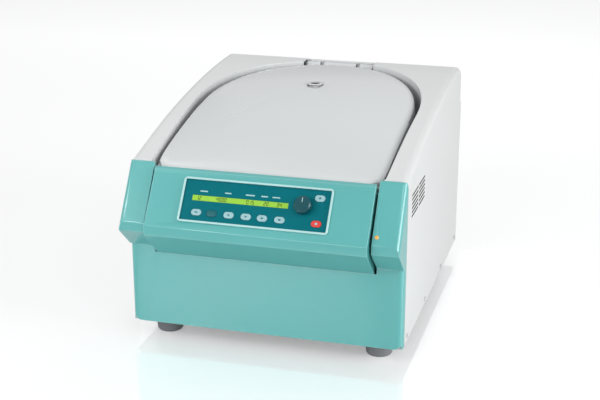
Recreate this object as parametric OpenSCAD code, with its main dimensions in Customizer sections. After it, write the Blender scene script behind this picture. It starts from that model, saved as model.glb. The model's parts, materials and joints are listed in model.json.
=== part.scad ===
// Benchtop centrifuge for microplates, with a swing-out rotor under a hinged lid.
// X is the width, Y runs from the front to the rear, Z is up and the feet stand on z = 0.
// Inside the modules u is the distance behind the lower front panel and z starts at the case's lower edge.

/* [Case] */
// Width of the case
case_w = 554; // [540:1:600]
// Depth from the lower front panel to the rear panel
case_d = 640; // [630:1:700]
// Height of the case above the feet, at its rear edge
case_h = 420; // [414:1:440]
// Height of the side rails at the front panel
nose_h = 330; // [326:1:334]
// Distance behind the front at which the steep nose turns into the flat back
bend_u = 150; // [140:1:160]
// Height of the side rails at that bend
bend_h = 367; // [362:1:372]
// Painted steel sheet of the case
sheet = 3; // [2:0.5:4]
// How far the upper rear face is set forward from the rear panel
rear_step = 14; // [8:1:20]
// Height at which the rear face steps forward
rear_step_h = 335; // [320:1:345]
// Rounding of the top along the side walls
case_round = 14; // [8:1:18]

/* [Front mouldings] */
// Wall of the coloured mouldings
mould = 4; // [3:0.5:5]
// How far the console's chin stands in front of the lower panel
chin_out = 66; // [60:1:72]
// How far the cheeks' chin stands in front of the lower panel
cheek_out = 52; // [46:1:56]
// Distance behind the lower panel at which the console's face ends at the top
face_top_u = 0; // [-6:1:1]
// The same for the cheeks
cheek_top_u = 10; // [6:1:11]
// Height of the console's chin, at the lower edge of its face
chin_h = 231; // [226:1:236]
// Height of the console's lip, in front of the lid
lip_h = 327; // [324:1:329]
// Height of the cheeks' lip, beside the lid
cheek_lip_h = 332.5; // [330:0.5:334]
// Height at which the console's underside leaves the lower panel
tuck_h = 152; // [146:1:158]
// Height of the blunt chin edge
chin_edge = 20; // [14:1:24]
// Width of the console
console_w = 438; // [430:1:446]
// Groove on each side of the console
groove = 5; // [4:0.5:7]
// Depth of the coloured panel's return along the sides
return_u = 20; // [16:1:24]
// Rounding of the panel's upright edges
edge_r = 12; // [6:1:16]
// Rounding of the panel's two lower corners
foot_corner_r = 20; // [12:1:26]

/* [Control panel] */
// Width of the raised frame round the keypad
frame_w = 296; // [290:1:306]
// Height of that frame, up the slope
frame_l = 90; // [86:1:92]
// Centre of the frame, to the side of the middle
frame_x = -6; // [-10:1:6]
// Centre of the frame, up the slope from the chin
frame_at = 59; // [58:1:60]
// Width of the frame's border
frame_border = 4; // [3:0.5:6]
// Height of the frame above the face
frame_rise = 3.5; // [2:0.5:5]
// Length of a key
key_l = 20; // [18:0.5:22]
// Width of a key
key_w = 12.6; // [11:0.2:14]
// Clearance round a key in the keypad
key_gap = 0.4; // [0.3:0.1:0.6]
// Travel of a key
key_travel = 1; // [0.6:0.1:1.2]
// Diameter of the setting knob
knob_d = 34; // [30:1:36]
// Height of the setting knob
knob_h = 15; // [12:1:20]
// Diameter of the knob's spindle
spindle_d = 6; // [5:0.5:8]
// Length of the display
display_l = 190; // [180:1:196]
// Width of the display
display_w = 10.5; // [9:0.5:13]

/* [Lid] */
// Width of the lid
lid_w = 456; // [450:1:462]
// Gap between the lid and the case
lid_gap = 5; // [4:0.5:6]
// How much wider the case's opening is at the rear end of the lid's sides
lid_flare = 6; // [0:1:8]
// Distance from the lower front panel to the lid's front edge
lid_front = 15; // [14.5:0.5:16]
// Start of the lid's rounded rear outline
lid_mid = 295; // [290:1:300]
// Length of that rounded rear outline
lid_back = 299; // [294:1:301]
// Chamfer of the lid's front corners
lid_chamfer = 13; // [8:1:20]
// Wall of the lid's cover
lid_wall = 3.5; // [2.5:0.5:5]
// How far the lid's edge lies below the side rails
lid_sink = 5; // [3:0.5:8]
// Rise of the lid's crown in the middle
crown_h = 22; // [14:1:26]
// Steel plate under the lid
plate_t = 3; // [2:0.5:4]
// Space between the deck and the lid's plate
seal_gap = 6; // [5:0.5:8]
// Height of the hinge axis
hinge_h = 402; // [398:1:404]
// Distance from the hinge axis to the upper rear face
hinge_in = 19; // [18:1:22]
// Sideways place of each hinge
hinge_x = 62; // [50:1:75]
// Width of a hinge arm
arm_w = 34; // [28:1:38]
// Diameter of the hinge pins
hinge_pin_d = 10; // [8:0.5:12]
// Running clearance of pins and spindles, on the radius
run_gap = 0.05; // [0.03:0.01:0.08]

/* [Chamber] */
// Distance from the lower front panel to the rotor's axis
rotor_u = 382; // [378:1:384]
// Inner radius of the bowl
bowl_r = 186; // [184:1:187]
// Depth of the bowl
bowl_depth = 210; // [200:1:216]
// Height of the deck round the bowl
deck_h = 333; // [328:1:336]
// Stainless sheet of the bowl
bowl_t = 2; // [1.5:0.5:2.5]
// Wall of the armour ring
guard_t = 8; // [5:1:9]
// Width of the seal on the deck
seal_w = 10; // [8:0.5:10.5]

/* [Rotor] */
// Radius at which the carriers hang
trunnion_r = 84; // [82:1:88]
// Height of the trunnions above the bowl's floor
trunnion_h = 116; // [110:1:120]
// Diameter of the trunnion pins
trunnion_d = 10; // [8:0.5:11]
// Length of a carrier's inside, for a 127.8 mm plate
pocket_l = 129; // [128.5:0.5:130]
// Width of a carrier's inside, for an 85.5 mm plate
pocket_w = 87; // [86:0.5:88]
// Depth of a carrier below its trunnions
pocket_d = 64; // [50:1:66]
// Wall of a carrier
carrier_t = 2.5; // [2:0.5:3]
// Radius of the rotor's hub
hub_r = 26; // [22:1:30]
// Diameter of the drive shaft
shaft_d = 24; // [20:1:28]

/* [Stand] */
// Height of the feet
foot_h = 36; // [30:1:42]
// Diameter of the feet
foot_d = 58; // [50:1:64]
// Distance of the feet from the sides
foot_in = 57; // [50:1:70]
// Distance of the feet from the front and the rear
foot_u = 58; // [50:1:80]

/* [Hidden] */

$fn = 96;
fit = 0.3;
y_front = (chin_out - case_d) / 2;
half_w = case_w / 2;
teal = [0.42, 0.75, 0.74];
white = [0.92, 0.93, 0.93];
steel = [0.72, 0.73, 0.75];
dark = [0.14, 0.15, 0.16];

// Places every sub-part: from case coordinates to the model's own origin
module in_case() translate([0, y_front, foot_h]) children();

// Stands a side view, drawn as (u, z), up and gives it a width along X
module across(from, to) translate([from, 0, 0]) rotate([90, 0, 90]) linear_extrude(to - from) children();

// Smaller of two heights, with the corner between them rounded
function soft_min(a, b, k) = (a + b - sqrt((a - b) * (a - b) + k * k)) / 2;

// Top of the side rails
back_u = case_d - 23;
bend_soft = 3;
back_curve = 1.8;
function nose_z(u) = nose_h + (bend_h - nose_h) * u / bend_u;
function back_z(u) = case_h - (case_h - bend_h) * pow(max(0, (back_u - u) / (back_u - bend_u)), back_curve);
function top_z(u) = soft_min(nose_z(u), back_z(u), bend_soft);

// Deck under the lid: a slope behind the console, then level round the bowl
deck_bend = 165;
deck_slope = 0.18;
function deck_z(u) = deck_h - max(0, deck_bend - u) * deck_slope;

// Outline of the lid seen from above, grown by g
arc_n = 36;
side_n = 9;
front_n = 16;
function lid_outline(g) =
    let (a = lid_w / 2 + g, f = lid_front - g, c = lid_chamfer)
    concat(
        [for (i = [0 : front_n]) [-(a - c) + 2 * (a - c) * i / front_n, f]],
        [for (i = [0 : side_n - 1]) [a, f + c + (lid_mid - f - c) * i / side_n]],
        [for (i = [0 : arc_n]) [a * cos(180 * i / arc_n), lid_mid + (lid_back + g) * sin(180 * i / arc_n)]],
        [for (i = [side_n - 1 : -1 : 0]) [-a, f + c + (lid_mid - f - c) * i / side_n]]
    );
lid_rear = lid_mid + lid_back;

// Outline of the case's opening, which widens towards the rear, grown by g
shoulder = 0.95;
function opening(g) =
    let (a = lid_w / 2 + lid_gap + g, f = lid_front - lid_gap - g, c = lid_chamfer,
        side = [for (i = [0 : side_n - 1])
            let (k = i / side_n) [a + lid_flare * k, f + c + (lid_mid - f - c) * k]])
    concat(
        [for (i = [0 : front_n]) [-(a - c) + 2 * (a - c) * i / front_n, f]],
        side,
        [for (i = [0 : arc_n]) let (t = 180 * i / arc_n)
            [(a + lid_flare) * sign(cos(t)) * pow(abs(cos(t)), shoulder),
                lid_mid + (lid_back + lid_gap + g) * pow(max(0, sin(t)), shoulder)]],
        [for (i = [side_n - 1 : -1 : 0]) [-side[i][0], side[i][1]]]
    );

// Moves each side of an outline inwards by d, for the wall of a moulding
function side_shift(p, q, d) = let (v = (q - p) / norm(q - p)) [-v[1], v[0]] * d;
function corner_shift(a, b, c, d) =
    let (m = side_shift(a, b, 1), n = side_shift(b, c, 1))
    (m + n) * d / (1 + m * n);
function inset(pts, d) =
    let (n = len(pts))
    [for (i = [0 : n - 1]) pts[i] + corner_shift(pts[(i + n - 1) % n], pts[i], pts[(i + 1) % n], d)];

// Upper rear face and hinge axis
upper_rear = case_d - rear_step;
hinge_u = upper_rear - hinge_in;

// Side view of the case, anticlockwise, seen with u to the right
top_n = 26;
rear_r = 12;
function case_side(drop) = concat(
    [[return_u, 0], [case_d, 0], [case_d, rear_step_h], [upper_rear, rear_step_h + 4],
        [upper_rear, top_z(upper_rear) - rear_r - drop]],
    [for (i = [1 : 4]) [upper_rear - rear_r + rear_r * cos(90 * i / 4),
        top_z(upper_rear) - rear_r - drop + rear_r * sin(90 * i / 4)]],
    [for (i = [top_n - 1 : -1 : 0])
        let (u = return_u + (upper_rear - 2 * rear_r - return_u) * pow(i / top_n, 1.3))
        [u, top_z(u) - drop]]
);

// Side views of the coloured mouldings, from the lower panel up and round to the lip
lip_drop = 8;
lip_run = 8;
function chin_side(out, chin, top_u, tuck, back, lip) =
    [[0, tuck], [back, tuck], [back, lip], [top_u + lip_run, lip], [top_u + 3, lip - 2.5],
        [top_u, lip - lip_drop], [-out + 1, chin], [-out, chin - 4], [-out, chin - chin_edge],
        [-out + 6, chin - chin_edge - 6]];
lean = atan((face_top_u + chin_out - 1) / (lip_h - lip_drop - chin_h));
cheek_lean = atan((cheek_top_u + cheek_out - 1) / (cheek_lip_h - lip_drop - chin_h));

// The console ends in a gutter under the lid's front edge
gutter_u = lid_front - 3.5;
gutter_h = deck_z(return_u) - fit - mould;
function console_side(back) = let (c = chin_side(chin_out, chin_h, face_top_u, tuck_h, back, lip_h))
    concat([c[0], c[1], [back, gutter_h + mould], [gutter_u, gutter_h + mould], [gutter_u, lip_h]],
        [for (i = [4 : len(c) - 1]) c[i]]);
function cheek_side(back) = chin_side(cheek_out, chin_h, cheek_top_u, cheek_tuck, back, cheek_lip_h);
cheek_tuck = tuck_h + 13;

// Frame of the console's face: x to the side, y up the slope, z out of the face
module on_face() in_case() translate([0, -chin_out + 1, chin_h]) rotate([90 - lean, 0, 0]) children();

module box_at(from, to) translate(from) cube(to - from);
module round_plate(w, l, r, t) linear_extrude(t) round_rect(w, l, r);
module round_rect(w, l, r) {
    square([w - 2 * r, l], center = true);
    square([w, l - 2 * r], center = true);
    for (x = [-1, 1], y = [-1, 1]) translate([x * (w / 2 - r), y * (l / 2 - r)]) circle(r, $fn = 48);
}
module oval(l, w, t) linear_extrude(t) {
    square([l - w, w], center = true);
    for (x = [-1, 1]) translate([x * (l - w) / 2, 0]) circle(w / 2, $fn = 48);
}

// Case

pan_gap = 0.5;
pan_lip = 26;
pan_half = half_w - max(sheet, mould) - pan_gap;
pan_rear = case_d - 2 * sheet - 3 * fit;
screw_r = 1.9;
module base_pan() color(steel) in_case() difference() {
    box_at([-pan_half, mould + pan_gap, 0], [pan_half, pan_rear, pan_lip]);
    box_at([-pan_half + sheet, mould + pan_gap + sheet, sheet],
        [pan_half - sheet, pan_rear - sheet, pan_lip + 1]);
    // Air slots under the power electronics
    for (i = [0 : 7]) box_at([-half_w + 177 + i * 26, 60, -1], [-half_w + 185 + i * 26, 150, sheet + 1]);
    for (s = [-1, 1], u = screw_places) translate([s * pan_half, u, screw_h]) rotate([0, 90, 0])
        cylinder(r = screw_r + 0.05, h = 6 * sheet, center = true);
}

vent_rows = 6;
vent_pitch = 8.4;
vent_slot = 62;
vent_gap = 8;
vent_open = 3.6;
vent_u = 60;
vent_z = 252;
rear_win_in = 16;
rear_win_top = 22;
module rail_slots(side) {
    for (row = [0 : vent_rows - 1], col = [0, 1])
        let (u = vent_u + vent_slot / 2 + col * (vent_slot + vent_gap))
        translate([side * half_w, u, vent_z + row * vent_pitch])
            cube([4 * sheet, vent_slot, vent_open], center = true);
}
// Skin of the case g inside its surface, lofted across the width so that the top rounds down to the sides
round_n = 6;
module case_skin(g) {
    n = len(case_side(0));
    r = case_round - g;
    cuts = [for (s = [-1, 1], i = [0 : round_n]) let (a = 90 * (s < 0 ? i : round_n - i) / round_n)
        [s * (half_w - g - r * (1 - cos(a))), r * (1 - sin(a))]];
    polyhedron(
        points = [for (c = cuts, p = g > 0 ? inset(case_side(c[1]), g) : case_side(c[1])) [c[0], p[0], p[1]]],
        faces = concat(
            [[for (k = [0 : n - 1]) k], [for (k = [n - 1 : -1 : 0]) (len(cuts) - 1) * n + k]],
            [for (j = [0 : len(cuts) - 2], k = [0 : n - 1], half = [0, 1])
                let (a = j * n + k, b = j * n + (k + 1) % n, c = b + n, d = a + n)
                half == 0 ? [a, d, c] : [a, c, b]]),
        convexity = 6
    );
}
module case_shell() color(white) in_case() difference() {
    union() {
        difference() {
            case_skin(0);
            case_skin(sheet);
        }
        // Walls that drop from the rails to the deck
        intersection() {
            across(-half_w + 1, half_w - 1) polygon(case_side(0));
            translate([0, 0, deck_z(0)]) linear_extrude(case_h) polygon(opening(sheet));
            across(-half_w, half_w) polygon([
                [return_u, deck_z(return_u)], [deck_bend, deck_z(deck_bend)], [case_d, deck_h],
                [case_d, 2 * case_h], [return_u, 2 * case_h]]);
        }
    }
    // Lid opening
    linear_extrude(2 * case_h) polygon(opening(0));
    // Open underside and front
    box_at([-half_w + sheet, return_u - 1, -1], [half_w - sheet, case_d - sheet, sheet + 1]);
    box_at([-half_w + sheet, return_u - 1, -1], [half_w - sheet, return_u + sheet + 1, lip_h - 12]);
    // Window for the rear panel
    box_at([-half_w + rear_win_in, case_d - 2 * sheet, pan_lip + 8],
        [half_w - rear_win_in, case_d + 1, rear_step_h - rear_win_top]);
    rail_slots(1);
    rail_slots(-1);
    // Well in which the hinges and the lid's rear edge turn
    box_at([-hinge_x - arm_w / 2 - 3, lid_mid, hinge_h - 60],
        [hinge_x + arm_w / 2 + 3, hinge_u + barrel_r + 3.5, 2 * case_h]);
    // Screw holes
    for (s = [-1, 1], u = screw_places) translate([s * half_w, u, screw_h]) rotate([0, 90, 0])
        cylinder(r = screw_r + 0.3, h = 6 * sheet, center = true);
}
screw_h = 12;
screw_places = [45, 235, 425, 615];

module case_screws() color(steel) in_case()
    for (s = [-1, 1], u = screw_places) translate([s * (half_w + 0.02), u, screw_h]) rotate([0, s * 90, 0]) {
        cylinder(r = 4.4, h = 1.4);
        translate([0, 0, -10]) cylinder(r = screw_r, h = 10.1);
    }

// Air grille in the rear panel
grille_rows = 10;
grille_places = [40, 120];
grille_z = 60;
grille_pitch = 12;
grille_l = 60;
// Mains inlet and switch
inlet_x = -half_w + 87;
inlet_z = 70;
switch_x = inlet_x + 50;
// The rear panel lies behind the window's border, so its fittings end level with the case
rear_face = case_d - sheet - fit;
module rear_panel() color(white) in_case() difference() {
    box_at([-half_w + sheet + fit, rear_face - sheet, pan_lip + fit],
        [half_w - sheet - fit, rear_face, rear_step_h - sheet - 2 * fit]);
    translate([inlet_x, case_d, inlet_z]) cube([28, 6 * sheet, 21], center = true);
    translate([switch_x, case_d, inlet_z]) cube([20, 6 * sheet, 29], center = true);
    for (row = [0 : grille_rows - 1], x = grille_places)
        translate([x, case_d, grille_z + row * grille_pitch]) cube([grille_l, 6 * sheet, 4], center = true);
}

// Deck that closes the case under the lid, with the hole for the bowl
module deck_plate() color(white) in_case() difference() {
    intersection() {
        linear_extrude(case_h) polygon(opening(sheet));
        across(-half_w, half_w) polygon([
            [return_u + fit, deck_z(return_u) - sheet - fit], [deck_bend, deck_h - sheet - fit],
            [case_d, deck_h - sheet - fit], [case_d, deck_h - fit], [deck_bend, deck_h - fit],
            [return_u + fit, deck_z(return_u) - fit]]);
    }
    translate([0, rotor_u, 0]) cylinder(r = bowl_r + 1.5, h = 2 * case_h, $fn = 160);
    for (s = [-1, 1]) striker_slot(s);
}

// Front mouldings

cheek_in = console_w / 2 + groove;
module upright_bevel() linear_extrude(lip_h + 1) {
    translate([-half_w + edge_r, 0]) square([case_w - 2 * edge_r, return_u]);
    translate([-half_w, edge_r]) square([case_w, return_u - edge_r]);
    for (s = [-1, 1]) translate([s * (half_w - edge_r), edge_r]) circle(edge_r, $fn = 64);
}
module lower_face() intersection() {
    upright_bevel();
    difference() {
        box_at([-half_w, 0, 0], [half_w, return_u, tuck_h + 14]);
        box_at([-half_w + mould, mould, -1], [half_w - mould, return_u + 1, tuck_h + 30]);
        box_at([-cheek_in, -1, tuck_h - fit], [cheek_in, return_u + 1, lip_h]);
        // The face ends in rounded corners above the returns
        for (s = [-1, 1]) difference() {
            translate([s * (half_w - foot_corner_r / 2), mould / 2, foot_corner_r / 2 - 1])
                cube([foot_corner_r + 2, mould + 2, foot_corner_r + 2], center = true);
            translate([s * (half_w - foot_corner_r), 0, foot_corner_r]) rotate([90, 0, 0])
                cylinder(r = foot_corner_r, h = 40, center = true, $fn = 64);
        }
    }
}
// Place of the pilot lamp on the cheek's face beside the console
lamp_x = cheek_in + 8;
lamp_at = 14;
lamp_r = 3;
module on_cheek() translate([0, -cheek_out + 1, chin_h]) rotate([90 - cheek_lean, 0, 0]) children();
module cheek_bevel() on_cheek() rotate([-90, 0, 0]) translate([0, 0, -400]) linear_extrude(600) {
    translate([-half_w + edge_r, 0]) square([case_w - 2 * edge_r, 300]);
    translate([-half_w, edge_r]) square([case_w, 300]);
    for (s = [-1, 1]) translate([s * (half_w - edge_r), edge_r]) circle(edge_r, $fn = 64);
}
module cheek() intersection() {
    cheek_bevel();
    difference() {
        across(cheek_in, half_w) polygon(cheek_side(return_u));
        across(cheek_in + mould, half_w - mould) polygon(inset(cheek_side(return_u + 2 * mould), mould));
    }
}
module front_panel() color(teal) in_case() difference() {
    union() {
        lower_face();
        cheek();
        mirror([1, 0, 0]) cheek();
    }
    translate([lamp_x, 0, 0]) on_cheek() translate([0, lamp_at, -30])
        cylinder(r = lamp_r + 0.1, h = 60, $fn = 48);
}

module console() color(teal) difference() {
    in_case() difference() {
        across(-console_w / 2, console_w / 2) polygon(console_side(return_u));
        across(-console_w / 2 + mould, console_w / 2 - mould)
            polygon(inset(console_side(return_u + 2 * mould), mould));
    }
    // Bevel at the two ends of the face
    for (s = [-1, 1]) on_face() translate([s * console_w / 2, 0, 0]) rotate([0, s * 45, 0])
        translate([0, 0, 10]) cube([30, 500, 12], center = true);
    on_face() translate([frame_x, frame_at, -2 * mould]) linear_extrude(4 * mould)
        round_rect(frame_w - frame_border, frame_l - frame_border, 3);
}

// Control panel

glass_w = frame_w - 2 * frame_border;
glass_l = frame_l - 2 * frame_border;
module keypad_frame() color([0.68, 0.9, 0.9]) on_face() translate([frame_x, frame_at, 0]) difference() {
    round_plate(frame_w, frame_l, 7, frame_rise);
    translate([0, 0, -1]) round_plate(glass_w, glass_l, 2, frame_rise + 2);
}

// Places of the keys and the knob on the face
key_row = 35;
key_places = [[-119, key_row], [-88, key_row], [-54, key_row], [-20, key_row], [12, key_row], [46, key_row]];
start_place = [117, 84];
stop_place = [117, 34];
knob_place = [87.5, 66];
display_place = [-37, 64];
plate_back = -2.4;
plate_front = -0.4;
board_z = -14;
// The board stays clear of the gutter behind the console's lip
board_l = frame_l - 26;
board_t = 1.6;
module keypad_plate() color([0, 0.42, 0.46]) on_face() difference() {
    translate([frame_x, frame_at, plate_back])
        round_plate(frame_w - frame_border - 1, frame_l - frame_border - 1, 3, plate_front - plate_back);
    for (p = concat(key_places, [start_place, stop_place])) translate([p[0], p[1], plate_back - 1])
        oval(key_l + 2 * key_gap, key_w + 2 * key_gap, 4);
    translate([knob_place[0], knob_place[1], plate_back - 1]) cylinder(r = spindle_d / 2 + run_gap, h = 4);
    translate([display_place[0], display_place[1], 0])
        cube([display_l + 2 * fit, display_w + 2 * fit, 20], center = true);
}

module display_window() color([0.62, 0.8, 0.12]) on_face()
    translate([display_place[0] - display_l / 2, display_place[1] - display_w / 2, plate_back])
        cube([display_l, display_w, plate_front - plate_back]);

module control_board() color([0.1, 0.4, 0.25]) on_face() {
    difference() {
        translate([frame_x, frame_at, board_z])
            round_plate(frame_w - frame_border - 6, board_l, 3, board_t);
        translate([knob_place[0], knob_place[1], board_z - 1]) cylinder(r = spindle_d / 2 + run_gap, h = 4);
    }
    // Spacers, display module and key switches
    for (x = [-1, 1], y = [-1, 1])
        translate([frame_x + x * (frame_w / 2 - 12), frame_at + y * (board_l / 2 - 5), board_z + board_t])
            cylinder(r = 3, h = plate_back - board_z - board_t - fit, $fn = 32);
    translate([display_place[0] - display_l / 2 - 4, display_place[1] - display_w / 2 - 3, board_z + board_t])
        cube([display_l + 8, display_w + 6, plate_back - board_z - board_t - fit]);
    for (p = concat(key_places, [start_place, stop_place]))
        translate([p[0] - 3, p[1] - 3, board_z + board_t])
            cube([6, 6, key_stem_z - key_travel - fit - board_z - board_t]);
}

knob_base = 0.4;
knob_bevel = 3;
flute_r = 1.4;
flute_out = 0.6;
module setting_knob() color([0, 0.3, 0.33]) on_face() translate([knob_place[0], knob_place[1], 0]) {
    difference() {
        translate([0, 0, knob_base]) union() {
            cylinder(r = knob_d / 2, h = knob_h - knob_bevel);
            translate([0, 0, knob_h - knob_bevel])
                cylinder(r1 = knob_d / 2, r2 = knob_d / 2 - knob_bevel, h = knob_bevel);
        }
        // Flutes round the rim, and the pointer's slot
        for (a = [0 : 15 : 345]) rotate([0, 0, a]) translate([knob_d / 2 + flute_out, 0, knob_bevel])
            cylinder(r = flute_r, h = knob_h, $fn = 24);
        translate([0, knob_d / 4, knob_base + knob_h - 1]) cube([1.6, knob_d / 3, 4], center = true);
    }
    translate([0, 0, board_z - 4]) cylinder(r = spindle_d / 2, h = 6 - board_z, $fn = 48);
}

key_stem_z = -7;
module key(place, tone) color(tone) on_face() translate([place[0], place[1], key_stem_z]) {
    oval(key_l, key_w, 1.2 - key_stem_z);
}

module pilot_lamp() color([1, 0.6, 0.1])
    in_case() translate([lamp_x, 0, 0]) on_cheek() translate([0, lamp_at, 0]) {
    translate([0, 0, -8]) cylinder(r = lamp_r, h = 8.2, $fn = 48);
    translate([0, 0, 0.1]) cylinder(r1 = lamp_r + 0.8, r2 = lamp_r - 0.6, h = 1.6, $fn = 48);
}

// Dark bush of the emergency lid release, on the end wall of the console
module release_bush() color(dark) in_case() translate([console_w / 2 + 0.1, -chin_out + 28, chin_h + 10])
    rotate([0, 90, 0]) difference() {
        cylinder(r = 5, h = 1.8, $fn = 48);
        translate([0, 0, -1]) cylinder(r = 3, h = 6, $fn = 48);
    }

// Chamber

bowl_top = deck_h - sheet - fit;
bowl_floor = bowl_top - bowl_depth;
bowl_round = 34;
collar_r = shaft_d / 2 + 14;
module rotor_bowl() color(steel) in_case() translate([0, rotor_u, 0]) rotate_extrude($fn = 160) difference() {
    union() {
        translate([collar_r, bowl_floor - bowl_t]) square([bowl_r - bowl_round - collar_r, bowl_t]);
        translate([bowl_r, bowl_floor + bowl_round]) square([bowl_t, bowl_depth - bowl_round]);
        translate([bowl_r, bowl_top - bowl_t]) square([seal_w + 2, bowl_t]);
        intersection() {
            translate([bowl_r - bowl_round, bowl_floor + bowl_round]) circle(bowl_round + bowl_t, $fn = 96);
            translate([bowl_r - bowl_round, bowl_floor - bowl_t]) square(bowl_round + bowl_t);
        }
        // Collar that keeps spilled liquid from the shaft
        translate([collar_r, bowl_floor - bowl_t]) square([bowl_t, 14]);
    }
    translate([bowl_r - bowl_round, bowl_floor + bowl_round]) circle(bowl_round, $fn = 96);
}

module guard_ring() color([0.35, 0.37, 0.4]) in_case() translate([0, rotor_u, sheet]) difference() {
    cylinder(r = bowl_r + bowl_t + 2 + guard_t, h = bowl_top - bowl_t - fit - sheet, $fn = 160);
    translate([0, 0, -1]) cylinder(r = bowl_r + bowl_t + 2, h = case_h, $fn = 160);
}

module bowl_seal() color(dark) in_case() translate([0, rotor_u, deck_h]) difference() {
    cylinder(r = bowl_r + 2 + seal_w, h = seal_gap - fit, $fn = 160);
    translate([0, 0, -1]) cylinder(r = bowl_r + 2, h = seal_gap + 2, $fn = 160);
}

// Drive

damper_h = 30;
damper_at = 104;
mount_z = sheet + damper_h;
mount_t = 6;
motor_r = 74;
neck_r = 56;
motor_top = bowl_floor - bowl_t - 12;
module motor_dampers() color(dark) in_case() for (a = [45 : 90 : 315])
    translate([damper_at * cos(a), rotor_u + damper_at * sin(a), sheet]) rotate_extrude() difference() {
        square([17, damper_h]);
        translate([22, damper_h / 2]) circle(9);
    }

module motor_plate() color(steel) in_case() translate([0, rotor_u, mount_z]) difference() {
    cylinder(r = damper_at + 22, h = mount_t);
    translate([0, 0, -1]) cylinder(r = neck_r + 1, h = mount_t + 2);
}

module drive_motor() color([0.3, 0.32, 0.34]) in_case() translate([0, rotor_u, 0]) difference() {
    union() {
        translate([0, 0, sheet + 6]) cylinder(r = neck_r, h = mount_z + mount_t - sheet - 6 + 1);
        translate([0, 0, mount_z + mount_t]) cylinder(r = motor_r + 8, h = 6);
        translate([0, 0, mount_z + mount_t]) cylinder(r = motor_r, h = motor_top - mount_z - mount_t);
    }
    translate([0, 0, mount_z]) cylinder(r = shaft_d / 2 + run_gap, h = case_h);
    for (a = [0 : 15 : 345]) rotate([0, 0, a]) translate([motor_r, 0, mount_z + mount_t + 10])
        cylinder(r = 3, h = motor_top - mount_z - mount_t - 16, $fn = 24);
}

pin_z = bowl_floor + trunnion_h;
yoke_t = 22;
taper = 4;
module drive_shaft() color(steel) in_case() translate([0, rotor_u, 0]) {
    translate([0, 0, mount_z + 4]) cylinder(r = shaft_d / 2, h = pin_z - yoke_t / 2 - mount_z - 4);
    translate([0, 0, pin_z - yoke_t / 2])
        cylinder(r1 = shaft_d / 2, r2 = shaft_d / 2 - taper, h = yoke_t + 6);
    translate([0, 0, pin_z + yoke_t / 2]) cylinder(r = 6, h = 18);
}

// Half distance between the yoke's two bars
ear_t = 8;
carrier_half = pocket_l / 2 + carrier_t;
bar_in = carrier_half + ear_t + 1;
bar_t = 14;
bar_half = 11;
web_half = 18;
module rotor_yoke() color([0.5, 0.52, 0.55]) in_case() translate([0, rotor_u, pin_z]) difference() {
    union() {
        translate([0, 0, -yoke_t / 2]) cylinder(r = hub_r, h = yoke_t + 6);
        // Web between the two bars
        for (s = [-1, 1]) translate([-web_half, s > 0 ? 0 : -bar_in - bar_t, -8])
            cube([2 * web_half, bar_in + bar_t, 16]);
        // Bars with rounded ends
        for (s = [-1, 1]) translate([0, s * (bar_in + bar_t / 2), 0]) rotate([90, 0, 0]) {
            translate([-trunnion_r, -bar_half, -bar_t / 2]) cube([2 * trunnion_r, 2 * bar_half, bar_t]);
            for (e = [-1, 1]) translate([e * trunnion_r, 0, -bar_t / 2]) cylinder(r = bar_half, h = bar_t);
        }
        // Trunnion pins
        for (s = [-1, 1], e = [-1, 1]) translate([e * trunnion_r, s * (bar_in + 1), 0]) rotate([s * 90, 0, 0])
            cylinder(r = trunnion_d / 2, h = ear_t + 1.2);
    }
    // Taper that sits on the shaft
    translate([0, 0, -yoke_t / 2 - 1]) cylinder(r1 = shaft_d / 2 + taper / (yoke_t + 6) + run_gap,
        r2 = shaft_d / 2 - taper + run_gap, h = yoke_t + 8);
    // Lightening pockets in the web
    for (s = [-1, 1]) translate([0, s * (hub_r + bar_in + 6) / 2, 0])
        cylinder(r = bar_half, h = 40, center = true);
}

module rotor_nut() color(steel) in_case() translate([0, rotor_u, pin_z + yoke_t / 2 + 6 + fit]) difference() {
    union() {
        cylinder(r = 17, h = 9, $fn = 6);
        cylinder(r = 12, h = 17);
    }
    translate([0, 0, -1]) cylinder(r = 6.05, h = 13);
}

// One carrier, hanging at the origin from pins along Y
carrier_w = pocket_w + 2 * carrier_t;
slot_clear = 0.08;
finger_w = 50;
finger_d = 22;
module carrier() {
    difference() {
        union() {
            translate([-carrier_w / 2, -carrier_half, -pocket_d - carrier_t])
                cube([carrier_w, 2 * carrier_half, pocket_d + carrier_t + 6]);
            for (s = [-1, 1]) translate([0, s * (carrier_half + ear_t / 2 - 0.5), 0]) hull() {
                rotate([90, 0, 0]) cylinder(r = trunnion_d / 2 + 5, h = ear_t + 1, center = true, $fn = 32);
                translate([0, 0, -32]) cube([32, ear_t + 1, 4], center = true);
            }
        }
        translate([-pocket_w / 2, -pocket_l / 2, -pocket_d]) cube([pocket_w, pocket_l, 2 * pocket_d]);
        // Saddles that drop over the pins from above
        for (s = [-1, 1]) {
            translate([0, s * (carrier_half + ear_t), 0]) rotate([90, 0, 0])
                cylinder(r = trunnion_d / 2 + slot_clear, h = 2 * ear_t - 1, center = true, $fn = 96);
            translate([-trunnion_d / 2 - slot_clear,
                s > 0 ? carrier_half + 0.5 : -carrier_half - ear_t - 2, -60])
                cube([trunnion_d + 2 * slot_clear, ear_t + 1.5, 60]);
        }
        // Finger recesses for lifting the plates out
        for (s = [-1, 1]) translate([s * carrier_w / 2, 0, 0])
            cube([4 * carrier_t, finger_w, 2 * finger_d], center = true);
    }
}
module placed_carrier(side) color([0.62, 0.64, 0.67])
    in_case() translate([side * trunnion_r, rotor_u, pin_z]) carrier();

// Lid

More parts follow.
